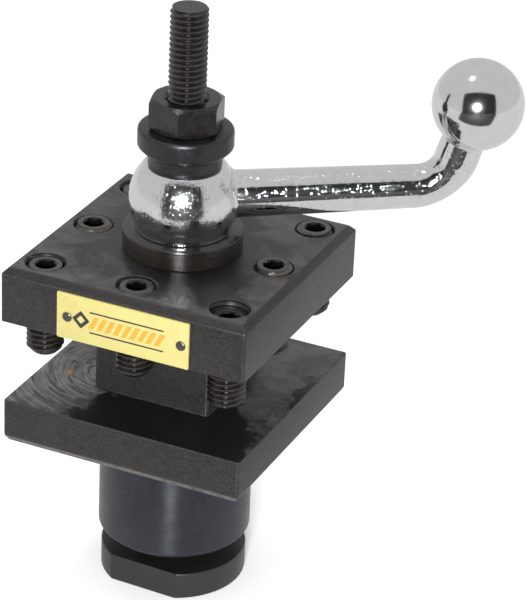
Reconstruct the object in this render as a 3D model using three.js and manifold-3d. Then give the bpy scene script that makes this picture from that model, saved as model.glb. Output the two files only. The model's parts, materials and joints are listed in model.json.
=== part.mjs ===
// A four-way indexing tool post for a small lathe: a square turret with a slot on each side for a tool,
// eight set screws that clamp the tools, a riser that the turret turns on, a T-nut below it, and a ball lever
// on a long threaded stud that draws the whole post down onto the T-nut.
// Millimetres, +Z up. The origin is the centre of the T-nut's flat underside. The name plate faces -Y.
import * as THREE from 'three';
import { mergeVertices } from 'three/addons/utils/BufferGeometryUtils.js';
import Module from 'manifold-3d';

const wasm = await Module();
wasm.setup();

// ---- driving dimensions -------------------------------------------------------------------------------

const GAP = 0.3; // clearance between pieces that touch on the real post
const EDGE = 0.5; // small chamfer on turned edges
const PAST = 1; // how far a cutter runs past the face it opens
const THREAD = 10; // M10 stud and set screws, drawn at their outer diameter
const FINE = 40; // sides of a large round piece
const COARSE = 16; // sides of a screw or a pin

const TEE_NUT = { across: 39.8, flats: 34.2, height: 7.7, boss: 18, top: 19.5, blind: 2, turned: -2 };
const RISER = {
  across: 41.6, bottom: 12.8, top: 45.6, chamfer: 1.4,
  pilot: 20, pilotTop: 76, // the turret turns on the pilot
  recess: 19, recessTop: 22, // room for the T-nut's boss
};
const TURRET = {
  bottom: RISER.top + GAP,
  lower: 69, // side of the lower flange
  upper: 70, // side of the upper flange
  core: 33.4, // side of the square core between them
  lowerThick: 12.4,
  slot: 23.5, // height of a tool slot
  upperThick: 15.5,
  topChamfer: 1.75,
  lowChamfer: { inset: 1.2, height: 1.95 },
};
const SLOT_FLOOR = TURRET.bottom + TURRET.lowerThick;
const SLOT_ROOF = SLOT_FLOOR + TURRET.slot;
const TURRET_TOP = SLOT_ROOF + TURRET.upperThick;

const COLLAR = { across: 31.8, height: 5.2 };
const HUB = { sphere: 14.5, rise: 14, neck: 12.6, cut: 24 }; // heights above the turret's top
const LEVER = { heading: 29.4, tilt: 3, lift: 0.4, root: 6.45, tip: 5.8, straight: 61.3, bend: 10.5, turn: 70 };
const KNOB = { radius: 12.2, reach: 16.5, socket: 8, spigot: 4.2, rootDepth: 2 };
const WASHER = { across: 25.2, boss: 19.4, shoulder: 3, bottom: 24.3, height: 9.9, chamfer: 2, topEdge: 0.8 };
const NUT = { flats: 17.8, height: 8, heading: -16.3, chamferAngle: 30, chamferInset: 0.3 };
const STUD = { bottom: 3.4, top: TURRET_TOP + 67.2, chamfer: 1.2 };
const STUD_BORE = THREAD / 2 + GAP; // the lever, washer and nut stay on the stud
const CLEAR_BORE = THREAD / 2 + 2 * GAP; // the turret, riser and collar let it turn

const SCREW = { length: 25, socket: 5, socketDepth: 5, chamfer: 0.7, mouth: 0.5 };
const SCREW_PITCH = 26.4; // distance of each row of set screws from the turret's axis
const SCREWS = [
  // name, column, row, height of the head above the turret's top
  ['set_screw_front_left', -1, -1, -0.5],
  ['set_screw_front_middle', 0, -1, -0.2],
  ['set_screw_front_right', 1, -1, -2.4],
  ['set_screw_right_middle', 1, 0, 0.9],
  ['set_screw_back_right', 1, 1, 0.6],
  ['set_screw_back_middle', 0, 1, -0.3],
  ['set_screw_back_left', -1, 1, -0.6],
  ['set_screw_left_middle', -1, 0, 0.5],
];

const DETENT = {
  radius: 15, heading: 45, // place in the riser
  nose: 2.2, noseTop: RISER.top + 1.6, neckTop: RISER.top - 3, shoulder: 34,
};
const DETENT_SPIGOT = { radius: 0.8, length: 2.8 }; // centres the spring under the plunger
const GROOVE = { half: 2.8, depth: 1.8, pocketDepth: 2.7, pocketRadius: 2.6 };
const SPRING = { coil: 1.7, wire: 0.3, turns: 5, bottom: 22.5, stepsPerTurn: 10 };
const ADJUSTER = { radius: 2.7, bottom: 14, top: 22, socket: 3, socketDepth: 3 };

const PLATE = { left: -18.1, right: 19.6, bottom: TURRET_TOP - 15.25, top: TURRET_TOP - 2.25, thick: 0.6 };
const PIN = { head: 1.4, headHigh: 0.6, shank: 0.9, length: 4, height: TURRET_TOP - 8.9, sides: 12 };
const PINS = [
  ['name_plate_pin_left', -15.1],
  ['name_plate_pin_right', 17.4],
];

// ---- materials ----------------------------------------------------------------------------------------

function material(color, roughness, metalness) {
  return new THREE.MeshStandardMaterial({ color, roughness, metalness });
}

const blackOxide = material(0x35302f, 0.45, 0.7);
const screwBlack = material(0x2a2827, 0.35, 0.8);
const chrome = material(0xd8dadd, 0.08, 1);
const springSteel = material(0x8a8c90, 0.35, 1);
const plateYellow = material(0xf2eaa0, 0.4, 0.2);

// ---- solids -------------------------------------------------------------------------------------------

// A closed three.js geometry as a solid: shared vertices are merged and flat slivers dropped.
function solid(geometry) {
  geometry.deleteAttribute('normal');
  geometry.deleteAttribute('uv');
  const merged = mergeVertices(geometry, 1e-4);
  const corners = merged.index.array;
  const kept = [];
  for (let i = 0; i < corners.length; i += 3) {
    const [a, b, c] = corners.slice(i, i + 3);
    if (a !== b && b !== c && c !== a) kept.push(a, b, c);
  }
  const vertProperties = new Float32Array(merged.attributes.position.array);
  return new wasm.Manifold(new wasm.Mesh({ numProp: 3, vertProperties, triVerts: new Uint32Array(kept) }));
}

function geometryOf(shape) {
  const mesh = shape.getMesh();
  const geometry = new THREE.BufferGeometry();
  geometry.setAttribute('position', new THREE.BufferAttribute(new Float32Array(mesh.vertProperties), 3));
  geometry.setIndex(new THREE.BufferAttribute(new Uint32Array(mesh.triVerts), 1));
  const flat = geometry.toNonIndexed();
  flat.computeVertexNormals();
  return flat;
}

// A profile of [radius, height] points turned about Z. A ring's profile closes on itself.
function turned(profile, sides = FINE, start = 0) {
  const points = profile.map(([r, z]) => new THREE.Vector2(r, z));
  return solid(new THREE.LatheGeometry(points, sides, start).rotateX(Math.PI / 2));
}

function ring(profile, sides = FINE) {
  return turned([...profile, profile[0]], sides);
}

function rod(radius, bottom, top, sides = COARSE) {
  return turned([[0, bottom], [radius, bottom], [radius, top], [0, top]], sides);
}

// A square block turned from its half widths, with four sides that face the row axes.
function square(profile) {
  return turned(profile.map(([half, z]) => [half * Math.SQRT2, z]), 4, Math.PI / 4);
}

function hexagon(flats, bottom, top) {
  const corner = flats / Math.sqrt(3);
  return turned([[0, bottom], [corner, bottom], [corner, top], [0, top]], 6);
}

function box(width, depth, height, x = 0, y = 0, z = 0) {
  return solid(new THREE.BoxGeometry(width, depth, height).translate(x, y, z));
}

// An arc of a turned profile, from one angle to another in degrees, about a centre height.
function arc(radius, centre, from, to, steps) {
  const points = [];
  for (let i = 0; i <= steps; i++) {
    const angle = THREE.MathUtils.degToRad(from + ((to - from) * i) / steps);
    points.push([radius * Math.cos(angle), centre + radius * Math.sin(angle)]);
  }
  return points;
}

const degreesOf = (ratio) => THREE.MathUtils.radToDeg(Math.asin(ratio));

function part(name, shape, surface) {
  const mesh = new THREE.Mesh(geometryOf(shape), surface);
  mesh.name = name;
  return mesh;
}

// ---- base ---------------------------------------------------------------------------------------------

// A round nut with two flats that fits a T-slot, and a boss that the riser guides. Its thread is blind.
function teeNut() {
  const { across, flats, height, boss, top, blind } = TEE_NUT;
  const outer = across / 2;
  const disc = turned([
    [0, 0], [outer - EDGE, 0], [outer, EDGE], [outer, height - EDGE],
    [outer - EDGE, height], [boss / 2, height], [boss / 2, top], [0, top],
  ]);
  const shape = disc
    .intersect(box(across * 2, flats, top * 2, 0, 0, top / 2))
    .subtract(rod(STUD_BORE, blind, top + PAST));
  const mesh = part('tee_nut', shape, blackOxide);
  mesh.rotation.z = THREE.MathUtils.degToRad(TEE_NUT.turned);
  return mesh;
}

function detentPlace() {
  const heading = THREE.MathUtils.degToRad(DETENT.heading);
  return [DETENT.radius * Math.cos(heading), DETENT.radius * Math.sin(heading), 0];
}

// The round riser that carries the turret: a pilot above, a recess for the T-nut's boss below,
// and a drilled hole beside the pilot for the indexing plunger.
function riser() {
  const { bottom, top, chamfer, pilotTop, recessTop } = RISER;
  const outer = RISER.across / 2;
  const recess = RISER.recess / 2;
  const pilot = RISER.pilot / 2;
  const body = ring([
    [recess, bottom], [outer - chamfer, bottom], [outer, bottom + chamfer], [outer, top - EDGE],
    [outer - EDGE, top], [pilot, top], [pilot, pilotTop - EDGE], [pilot - EDGE, pilotTop],
    [CLEAR_BORE, pilotTop], [CLEAR_BORE, recessTop], [recess, recessTop],
  ]);
  const hole = rod(ADJUSTER.radius + GAP, bottom - PAST, top + PAST).translate(detentPlace());
  return part('riser_sleeve', body.subtract(hole), blackOxide);
}

// ---- indexing detent ----------------------------------------------------------------------------------

function detentPlunger() {
  const { nose, noseTop, neckTop, shoulder } = DETENT;
  const body = ADJUSTER.radius - GAP / 2;
  const spigot = DETENT_SPIGOT;
  const dome = arc(nose, noseTop - nose, 0, 90, 5);
  dome[dome.length - 1][0] = 0;
  const shape = turned([
    [0, shoulder - spigot.length], [spigot.radius, shoulder - spigot.length], [spigot.radius, shoulder],
    [body, shoulder], [body, neckTop], [nose, neckTop], ...dome,
  ], COARSE);
  return part('detent_plunger', shape.translate(detentPlace()), screwBlack);
}

class Coil extends THREE.Curve {
  getPoint(t, target = new THREE.Vector3()) {
    const angle = t * SPRING.turns * 2 * Math.PI;
    const height = DETENT.shoulder - 2 * GAP - 2 * SPRING.wire - SPRING.bottom;
    const z = SPRING.bottom + SPRING.wire + t * height;
    return target.set(SPRING.coil * Math.cos(angle), SPRING.coil * Math.sin(angle), z);
  }
}

function detentSpring() {
  const section = new THREE.Shape().absarc(0, 0, SPRING.wire, 0, 2 * Math.PI);
  const path = new Coil();
  const steps = SPRING.turns * SPRING.stepsPerTurn;
  const wire = { steps, extrudePath: path, bevelEnabled: false, curveSegments: 3 };
  const shape = solid(new THREE.ExtrudeGeometry(section, wire));
  return part('detent_spring', shape.translate(detentPlace()), springSteel);
}

function detentAdjuster() {
  const { radius, bottom, top, socket, socketDepth } = ADJUSTER;
  const shape = turned([
    [0, bottom], [radius - EDGE, bottom], [radius, bottom + EDGE], [radius, top - EDGE],
    [radius - EDGE, top], [0, top],
  ], COARSE).subtract(hexagon(socket, bottom - PAST, bottom + socketDepth));
  return part('detent_adjuster', shape.translate(detentPlace()), screwBlack);
}

// ---- turret -------------------------------------------------------------------------------------------

function screwPlace([, column, row]) {
  return [column * SCREW_PITCH, row * SCREW_PITCH, 0];
}

// One solid block: two square flanges and a square core, milled out on four sides, with a stepped
// bore, eight screw holes, and a ring groove with four deeper pockets under it for the plunger.
function turretBlock() {
  const { bottom, lower, upper, core, topChamfer, lowChamfer } = TURRET;
  const low = lower / 2;
  const high = upper / 2;
  let block = square([
    [0, bottom], [low - lowChamfer.inset, bottom], [low, bottom + lowChamfer.height], [low, SLOT_FLOOR],
    [core / 2, SLOT_FLOOR], [core / 2, SLOT_ROOF], [high, SLOT_ROOF], [high, TURRET_TOP - topChamfer],
    [high - topChamfer, TURRET_TOP], [0, TURRET_TOP],
  ]);
  const pilotHole = RISER.pilot / 2 + GAP;
  block = block
    .subtract(rod(pilotHole, bottom - PAST, RISER.pilotTop + 2 * GAP, FINE))
    .subtract(rod(CLEAR_BORE, RISER.pilotTop, TURRET_TOP + PAST));
  const tapped = THREAD / 2 + GAP;
  const flare = tapped + SCREW.mouth;
  for (const screw of SCREWS) {
    const hole = turned([
      [0, SLOT_ROOF - PAST], [tapped, SLOT_ROOF - PAST], [tapped, TURRET_TOP - SCREW.mouth],
      [flare, TURRET_TOP], [flare, TURRET_TOP + PAST], [0, TURRET_TOP + PAST],
    ], COARSE);
    block = block.subtract(hole.translate(screwPlace(screw)));
  }
  const { radius, heading } = DETENT;
  const { half, depth, pocketDepth, pocketRadius } = GROOVE;
  const groove = ring([
    [radius - half, bottom - PAST], [radius + half, bottom - PAST],
    [radius + half, bottom + depth], [radius - half, bottom + depth],
  ]);
  block = block.subtract(groove);
  for (let quarter = 0; quarter < 4; quarter++) {
    const pocket = rod(pocketRadius, bottom - PAST, bottom + pocketDepth).translate([radius, 0, 0]);
    block = block.subtract(pocket.rotate([0, 0, heading + 90 * quarter]));
  }
  for (const [, x] of PINS) {
    const hole = rod(PIN.shank + GAP, -PAST, PIN.length + PAST, PIN.sides).rotate([-90, 0, 0]);
    block = block.subtract(hole.translate([x, -high, PIN.height]));
  }
  return part('turret_block', block, blackOxide);
}

function thrustCollar() {
  const bottom = TURRET_TOP + GAP;
  const top = bottom + COLLAR.height;
  const outer = COLLAR.across / 2;
  const shape = ring([
    [CLEAR_BORE, bottom], [outer, bottom], [outer, top - EDGE], [outer - EDGE, top], [CLEAR_BORE, top],
  ]);
  return part('thrust_collar', shape, blackOxide);
}

function namePlate() {
  const { left, right, bottom, top, thick } = PLATE;
  const y = -TURRET.upper / 2 - GAP - thick / 2;
  let shape = box(right - left, thick, top - bottom, (left + right) / 2, y, (top + bottom) / 2);
  for (const [, x] of PINS) {
    const hole = rod(PIN.shank + GAP, -thick, thick, PIN.sides).rotate([90, 0, 0]);
    shape = shape.subtract(hole.translate([x, y, PIN.height]));
  }
  return part('name_plate', shape, plateYellow);
}

// A drive pin with a domed head over the name plate and its shank in the turret.
function platePin([name, x]) {
  const { head, headHigh, shank, length, height } = PIN;
  const seat = PLATE.thick + 2 * GAP; // from the turret's face out to the underside of the head
  const shape = turned([
    [0, -length], [shank, -length], [shank, seat], [head, seat], [head, seat + headHigh / 2],
    [head / 2, seat + headHigh], [0, seat + headHigh],
  ], PIN.sides).rotate([90, 0, 0]);
  return part(name, shape.translate([x, -TURRET.upper / 2, height]), screwBlack);
}

function setScrew(screw) {
  const [name, , , proud] = screw;
  const { length, socket, socketDepth, chamfer } = SCREW;
  const top = TURRET_TOP + proud;
  const bottom = top - length;
  const radius = THREAD / 2;
  const shape = turned([
    [0, bottom], [radius - chamfer, bottom], [radius, bottom + chamfer], [radius, top - chamfer],
    [radius - chamfer, top], [0, top],
  ], COARSE).subtract(hexagon(socket, top - socketDepth, top + PAST));
  return part(name, shape.translate(screwPlace(screw)), screwBlack);
}

// ---- clamping lever -----------------------------------------------------------------------------------

// The lever's centre line in its own upright plane: straight out, round the bend, and up to the knob.
// Returns the outward distance, the height above the hub's centre, and the slope, at a length along it.
function leverLine(length) {
  const { tilt, lift, straight, bend, turn } = LEVER;
  const start = THREE.MathUtils.degToRad(tilt);
  const swing = Math.min(Math.max((length - straight) / bend, 0), THREE.MathUtils.degToRad(turn));
  const slope = start + swing;
  const before = Math.min(length, straight);
  const after = Math.max(length - straight - bend * swing, 0);
  return {
    out: before * Math.cos(start) + bend * (Math.sin(slope) - Math.sin(start)) + after * Math.cos(slope),
    up: lift + before * Math.sin(start) + bend * (Math.cos(start) - Math.cos(slope)) + after * Math.sin(slope),
    slope,
  };
}

const LEVER_LENGTH = LEVER.straight + LEVER.bend * THREE.MathUtils.degToRad(LEVER.turn) + KNOB.reach;

const KNOB_FACE = LEVER_LENGTH - KNOB.radius; // length at which the centre line enters the knob

// A round bar that follows the lever's centre line. The radius is a function of the length along it.
function leverBar(from, to, radiusAt, steps) {
  const bar = new THREE.CylinderGeometry(1, 1, 1, COARSE, steps).rotateX(Math.PI / 2);
  const position = bar.attributes.position;
  const point = new THREE.Vector3();
  for (let i = 0; i < position.count; i++) {
    point.fromBufferAttribute(position, i);
    const length = from + (to - from) * (point.z + 0.5);
    const { out, up, slope } = leverLine(length);
    const radius = radiusAt(length);
    position.setXYZ(
      i,
      out - point.x * radius * Math.sin(slope),
      -point.y * radius,
      up + point.x * radius * Math.cos(slope),
    );
  }
  return solid(bar);
}

function taper(length) {
  const along = Math.min(length / LEVER.straight, 1);
  return LEVER.root + (LEVER.tip - LEVER.root) * along;
}

function knobBall(radius) {
  const { out, up } = leverLine(LEVER_LENGTH);
  return solid(new THREE.SphereGeometry(radius, 24, 16)).translate([out, 0, up]);
}

// A ball hub with a short neck, and the arm that grows out of it, bored for the stud.
function clampLever() {
  const { sphere, rise, neck, cut } = HUB;
  const centre = TURRET_TOP + rise;
  const low = -degreesOf(Math.sqrt(sphere ** 2 - neck ** 2) / sphere);
  const high = degreesOf((cut - rise) / sphere);
  const bottom = TURRET_TOP + COLLAR.height + 2 * GAP;
  const hub = turned([[0, bottom], [neck, bottom], ...arc(sphere, centre, low, high, 12), [0, TURRET_TOP + cut]]);
  const arm = leverBar(0, KNOB_FACE - GAP, taper, 20);
  const spigot = leverBar(KNOB_FACE - KNOB.rootDepth, KNOB_FACE + KNOB.socket - 2 * GAP, () => KNOB.spigot, 1);
  const room = knobBall(KNOB.radius + GAP);
  const shape = arm.subtract(room).add(spigot)
    .rotate([0, 0, LEVER.heading])
    .translate([0, 0, centre])
    .add(hub)
    .subtract(rod(STUD_BORE, bottom - PAST, TURRET_TOP + cut + PAST));
  return part('clamp_lever', shape, chrome);
}

function leverKnob() {
  const socket = leverBar(KNOB_FACE - KNOB.rootDepth, KNOB_FACE + KNOB.socket, () => KNOB.spigot + GAP, 1);
  const shape = knobBall(KNOB.radius).subtract(socket)
    .rotate([0, 0, LEVER.heading])
    .translate([0, 0, TURRET_TOP + HUB.rise]);
  return part('lever_knob', shape, chrome);
}

function centreStud() {
  const { bottom, top, chamfer } = STUD;
  const radius = THREAD / 2;
  const shape = turned([
    [0, bottom], [radius - chamfer, bottom], [radius, bottom + chamfer], [radius, top - chamfer],
    [radius - chamfer, top], [0, top],
  ], COARSE);
  return part('centre_stud', shape, screwBlack);
}

// A thick washer whose smaller boss sits on the hub, with a broad chamfer under its rim.
function shoulderedWasher() {
  const { across, boss, shoulder, height, chamfer, topEdge } = WASHER;
  const bottom = TURRET_TOP + WASHER.bottom;
  const under = bottom + shoulder;
  const top = bottom + height;
  const outer = across / 2;
  const shape = ring([
    [STUD_BORE, bottom], [boss / 2, bottom], [boss / 2, under], [outer - chamfer, under],
    [outer, under + chamfer], [outer, top - topEdge], [outer - topEdge, top], [STUD_BORE, top],
  ]);
  return part('shouldered_washer', shape, blackOxide);
}

// A hexagon nut with its corners turned off above and below.
function jamNut() {
  const { flats, height, heading, chamferAngle, chamferInset } = NUT;
  const bottom = TURRET_TOP + WASHER.bottom + WASHER.height + GAP;
  const top = bottom + height;
  const corner = flats / Math.sqrt(3);
  const face = flats / 2 - chamferInset; // radius of the flat rings above and below
  const drop = (corner - face) * Math.tan(THREE.MathUtils.degToRad(chamferAngle));
  const bound = turned([
    [0, bottom], [face, bottom], [corner, bottom + drop], [corner, top - drop], [face, top], [0, top],
  ]);
  const shape = hexagon(flats, bottom, top)
    .rotate([0, 0, 90 + heading])
    .intersect(bound)
    .subtract(rod(STUD_BORE, bottom - PAST, top + PAST));
  return part('jam_nut', shape, blackOxide);
}

// ---- assembly -----------------------------------------------------------------------------------------

const post = new THREE.Group();
post.add(teeNut(), riser(), detentPlunger(), detentSpring(), detentAdjuster());
post.add(turretBlock(), thrustCollar(), namePlate(), ...PINS.map(platePin), ...SCREWS.map(setScrew));
post.add(centreStud(), clampLever(), leverKnob(), shoulderedWasher(), jamNut());

export default post;
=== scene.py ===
"""A four-way indexing tool post: black turret, riser, T-nut, set screws, threaded stud and chromed lever.

Pieces are made in millimetres, then scaled to metres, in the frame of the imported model.
"""

import json
import math

import bmesh
import bpy
from mathutils import Matrix, Vector


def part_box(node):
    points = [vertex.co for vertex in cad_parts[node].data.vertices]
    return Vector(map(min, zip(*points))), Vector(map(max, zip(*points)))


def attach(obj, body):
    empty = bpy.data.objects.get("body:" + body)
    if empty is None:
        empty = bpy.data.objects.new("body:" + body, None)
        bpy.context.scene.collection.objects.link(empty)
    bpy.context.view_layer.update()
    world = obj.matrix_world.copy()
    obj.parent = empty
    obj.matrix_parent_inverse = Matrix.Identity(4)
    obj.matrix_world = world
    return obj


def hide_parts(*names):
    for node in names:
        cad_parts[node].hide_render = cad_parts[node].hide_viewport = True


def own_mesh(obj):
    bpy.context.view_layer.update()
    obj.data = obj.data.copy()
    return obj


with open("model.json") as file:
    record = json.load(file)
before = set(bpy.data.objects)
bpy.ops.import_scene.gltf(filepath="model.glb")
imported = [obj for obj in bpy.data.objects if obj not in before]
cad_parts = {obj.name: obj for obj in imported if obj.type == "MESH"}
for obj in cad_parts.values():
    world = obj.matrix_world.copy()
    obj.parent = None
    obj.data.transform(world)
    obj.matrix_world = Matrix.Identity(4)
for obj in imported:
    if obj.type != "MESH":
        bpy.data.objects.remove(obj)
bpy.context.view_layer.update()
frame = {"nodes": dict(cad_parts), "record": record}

MM = 0.001
UP = Vector((0, 0, 1))


# ---- places taken from the frame ----------------------------------------------------------------------


def span(node):
    """Lowest and highest corner of a CAD node, in millimetres."""
    low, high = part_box(node)
    return Vector(low) / MM, Vector(high) / MM


def middle(node):
    low, high = span(node)
    return (low + high) / 2


def mount_height(name):
    found = [m for m in frame["record"]["mounts"] if m["name"] == name][0]
    return found["pos_m"][2] / MM


THREAD_RADIUS = 5.0
PITCH = 1.5
THREAD_DEPTH = 0.92
STUD_ROOM = 5.6  # radius of a bore that the stud turns in

TURRET_BOTTOM, TURRET_TOP = (corner.z for corner in span("turret_block"))
UPPER_HALF = span("turret_block")[1].x
LOWER_HALF = UPPER_HALF - 0.5
CORE_HALF = 16.7
SLOT_FLOOR = mount_height("tool_seat_front")
SLOT_ROOF = TURRET_TOP - 15.5
TOP_CHAMFER = 1.75
LOW_CHAMFER_INSET, LOW_CHAMFER_RISE = 1.2, 1.95
PILOT_ROOM = span("riser_sleeve")[1].z + 0.6
TEE_TOP = 7.7

HUB_CENTRE = TURRET_TOP + 14
HUB_RADIUS = 14.5
HUB_TOP = TURRET_TOP + 24
HUB_BORE = 5.2
NECK_RADIUS = 12.6
COLLAR_TOP = TURRET_TOP + 5.5

KNOB = middle("lever_knob")
KNOB_RADIUS = 12.1
HEADING = math.atan2(KNOB.y, KNOB.x)
NUT_HEADING = math.radians(-16.3)
TEE_HEADING = math.radians(-2)
SCREW_NODES = sorted(name for name in frame["nodes"] if name.startswith("set_screw_"))
PIN_NODES = ["name_plate_pin_left", "name_plate_pin_right"]
DETENT = middle("detent_plunger")


# ---- mesh helpers -------------------------------------------------------------------------------------


def rounded(corners, steps=4):
    """An outline with its corners eased. Each corner is (radius, height) or (radius, height, easing)."""
    points = []
    count = len(corners)
    for i, corner in enumerate(corners):
        here = Vector(corner[:2])
        ease = corner[2] if len(corner) > 2 else 0
        if not ease:
            points.append(tuple(here))
            continue
        before = Vector(corners[i - 1][:2]) - here
        after = Vector(corners[(i + 1) % count][:2]) - here
        start = here + before.normalized() * min(ease, before.length / 2)
        end = here + after.normalized() * min(ease, after.length / 2)
        for k in range(steps + 1):
            t = k / steps
            points.append(tuple(start * (1 - t) ** 2 + here * 2 * t * (1 - t) + end * t**2))
    return points


def arc(radius, centre, start, end, steps):
    """Points of a turned profile round a centre height on the axis, angles in radians above the equator."""
    angles = [start + (end - start) * k / steps for k in range(steps + 1)]
    return [(radius * math.cos(a), centre + radius * math.sin(a)) for a in angles]


def revolve(profile, sides=96, closed=False):
    """A bmesh turned about Z from (radius, height) points. A closed profile makes a ring with a bore."""
    bm = bmesh.new()
    rings = []
    for radius, height in profile:
        if radius < 1e-6:
            rings.append([bm.verts.new((0, 0, height))] * sides)
            continue
        angles = [2 * math.pi * k / sides for k in range(sides)]
        rings.append([bm.verts.new((radius * math.cos(a), radius * math.sin(a), height)) for a in angles])
    pairs = list(zip(rings, rings[1:]))
    if closed:
        pairs.append((rings[-1], rings[0]))
    for lower, upper in pairs:
        for k in range(sides):
            after = (k + 1) % sides
            corners = [lower[k], lower[after], upper[after], upper[k]]
            bm.faces.new(list(dict.fromkeys(corners)))
    bmesh.ops.recalc_face_normals(bm, faces=bm.faces)
    return bm


def prism(outline, bottom, top):
    """A bmesh raised from a flat outline of (x, y) points."""
    bm = bmesh.new()
    lower = [bm.verts.new((x, y, bottom)) for x, y in outline]
    upper = [bm.verts.new((x, y, top)) for x, y in outline]
    bm.faces.new(lower[::-1])
    bm.faces.new(upper)
    for k in range(len(outline)):
        after = (k + 1) % len(outline)
        bm.faces.new((lower[k], lower[after], upper[after], upper[k]))
    return bm


def hexagon(flats, turn=0.0):
    corner = flats / math.sqrt(3)
    angles = [turn + k * math.pi / 3 for k in range(6)]
    return [(corner * math.cos(a), corner * math.sin(a)) for a in angles]


def rectangle(width, height, ease, steps=4):
    """An outline round the origin with rounded corners."""
    signs = ((-1, -1), (1, -1), (1, 1), (-1, 1))
    return rounded([(x * width / 2, y * height / 2, ease) for x, y in signs], steps)


# One pitch of the thread: share of the pitch, share of the depth below the crest.
THREAD_STATIONS = [
    (-0.08, 0.06), (-0.04, 0.0), (0.04, 0.0), (0.08, 0.06),
    (0.37, 0.93), (0.43, 1.0), (0.57, 1.0), (0.63, 0.93),
]
RUN_OUT = 0.6  # how far from a bar's end its thread fades to plain


def thread(radius, depth, low, high, end_low, end_high, sides=40):
    """A bmesh of a right-hand threaded bar with coned ends and flat end faces. Its rows follow the helix.

    Rows that would run past an end are held at it, and merge there.
    """
    bm = bmesh.new()
    rows = []
    turns = math.ceil((high - low) / PITCH) + 4
    for turn in range(turns):
        for share, drop in THREAD_STATIONS:
            rows.append((low + PITCH * (turn - 2 + share), radius - depth * drop))
    columns = []
    for k in range(sides):
        angle = 2 * math.pi * k / sides
        column = []
        for height, reach in rows:
            z = min(max(height + PITCH * k / sides, low), high)
            near_low = max(1 - (z - low) / RUN_OUT, 0)
            near_high = max(1 - (high - z) / RUN_OUT, 0)
            plain = reach + (end_low - reach) * near_low + (end_high - reach) * near_high
            r = min(plain, end_low + (z - low), end_high + (high - z))
            column.append(bm.verts.new((r * math.cos(angle), r * math.sin(angle), z)))
        columns.append(column)
    step = len(THREAD_STATIONS)
    for k in range(sides):
        here = columns[k]
        if k + 1 < sides:
            beside = columns[k + 1]
        else:
            beside = columns[0][step:]
        for m in range(min(len(here), len(beside)) - 1):
            bm.faces.new((here[m], beside[m], beside[m + 1], here[m + 1]))
    bmesh.ops.remove_doubles(bm, verts=bm.verts, dist=1e-4)
    bmesh.ops.dissolve_degenerate(bm, edges=bm.edges, dist=1e-5)
    rims = [e for e in bm.edges if e.is_boundary]
    bmesh.ops.holes_fill(bm, edges=rims, sides=0)
    bmesh.ops.recalc_face_normals(bm, faces=bm.faces)
    return bm


def mark_crests(bm, index):
    """Gives the crests of a threaded bar a material of their own."""
    for face in bm.faces:
        if all(math.hypot(v.co.x, v.co.y) > THREAD_RADIUS - 0.08 * THREAD_DEPTH for v in face.verts):
            face.material_index = index
    return bm


def mesh_of(bm, name="shape"):
    mesh = bpy.data.meshes.new(name)
    bm.to_mesh(mesh)
    bm.free()
    return mesh


def join(*shapes):
    """Several bmeshes as one."""
    first = shapes[0]
    for other in shapes[1:]:
        mesh = mesh_of(other)
        first.from_mesh(mesh)
        bpy.data.meshes.remove(mesh)
    return first


def moved(bm, x=0.0, y=0.0, z=0.0, turn=0.0):
    """A bmesh turned about Z, then moved."""
    bm.transform(Matrix.Translation((x, y, z)) @ Matrix.Rotation(turn, 4, "Z"))
    return bm


def combine(base, tool, operation):
    """Boolean of two bmeshes: DIFFERENCE, UNION or INTERSECT."""
    holders = []
    for bm in (base, tool):
        holder = bpy.data.objects.new("boolean", mesh_of(bm))
        bpy.context.scene.collection.objects.link(holder)
        holders.append(holder)
    cut = holders[0].modifiers.new("cut", "BOOLEAN")
    cut.operation = operation
    cut.solver = "EXACT"
    cut.object = holders[1]
    bpy.context.view_layer.update()
    evaluated = holders[0].evaluated_get(bpy.context.evaluated_depsgraph_get())
    result = bmesh.new()
    result.from_mesh(evaluated.to_mesh())
    evaluated.to_mesh_clear()
    for holder in holders:
        mesh = holder.data
        bpy.data.objects.remove(holder)
        bpy.data.meshes.remove(mesh)
    return result


def piece(name, bm, body, materials, node=None, sharp=28):
    """Turns a bmesh in millimetres into a piece that rides on a body and stands for its CAD node."""
    bm.transform(Matrix.Scale(MM, 4))
    mesh = mesh_of(bm, name)
    mesh.shade_smooth()
    mesh.set_sharp_from_angle(angle=math.radians(sharp))
    for material in materials if isinstance(materials, list) else [materials]:
        mesh.materials.append(material)
    obj = bpy.data.objects.new(name, mesh)
    bpy.context.scene.collection.objects.link(obj)
    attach(obj, body)
    if node:
        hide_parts(node)
    return obj


# ---- material helpers ---------------------------------------------------------------------------------


TURNING_DIRECTION = 0.25  # a quarter turn sets the highlight across the turning marks


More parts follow.
